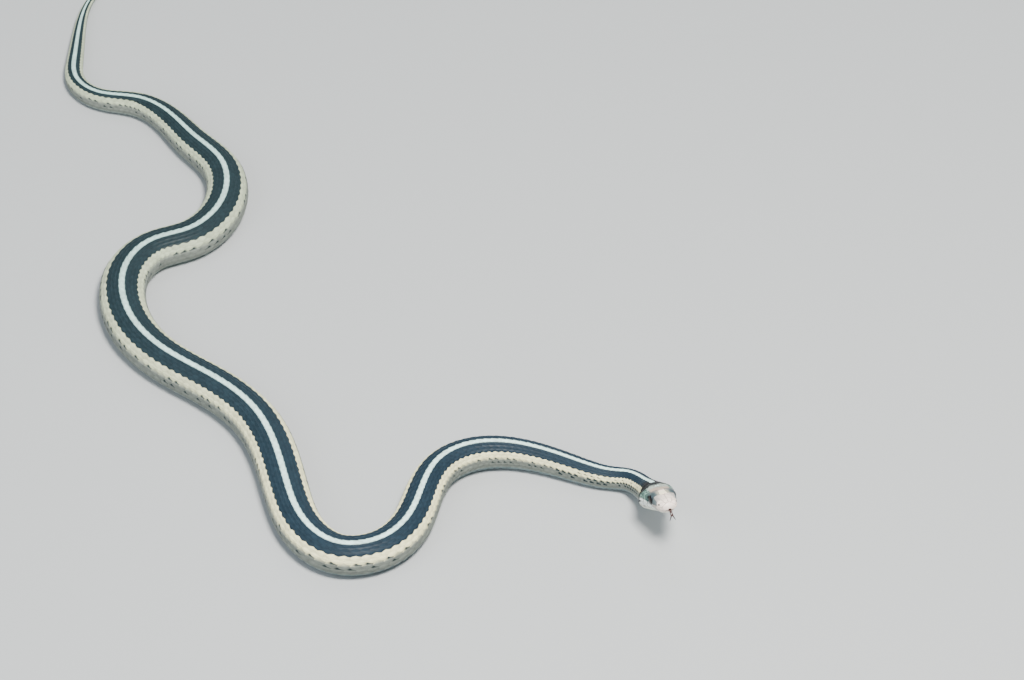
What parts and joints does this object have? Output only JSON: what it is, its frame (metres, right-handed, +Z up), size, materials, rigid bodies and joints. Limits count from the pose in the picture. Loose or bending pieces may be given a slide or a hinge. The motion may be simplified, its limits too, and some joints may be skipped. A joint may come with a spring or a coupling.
{
  "type": "garter snake",
  "caption": "Still, life-size garter snake lying on its belly in swimming curves, head raised a little, with three pale stripes, keeled scales and a forked tongue.",
  "frame": {"origin": "middle of the bounding box in plan, on the floor that the belly lies on", "axes": "+Z up; +Y along the length of the pose, from the head end to the tail end; +X from the tail side towards the head side. The snout points mostly along -Y and a little along +X"},
  "size_m": [0.2712, 0.4016, 0.0252],
  "materials": {
    "body_skin": "dry keeled scales, slate blue-black with three pale stripes",
    "head_skin": "smooth head plates with a soft sheen, olive beige",
    "jaw_skin": "smooth pale lip and chin plates",
    "eye": "glossy, wet-looking, near black",
    "tongue": "moist dark red-brown, black at the tips"
  },
  "bodies": {
    "root": {"head": "head_skin", "lower_jaw": "jaw_skin", "eye_left": "eye", "eye_right": "eye", "tongue": "tongue", "neck": "body_skin", "forebody": "body_skin", "midbody_front": "body_skin", "midbody_middle": "body_skin", "midbody_rear": "body_skin", "hindbody_front": "body_skin", "hindbody_rear": "body_skin", "tail_base": "body_skin", "tail_tip": "body_skin"}
  },
  "joints": []
}
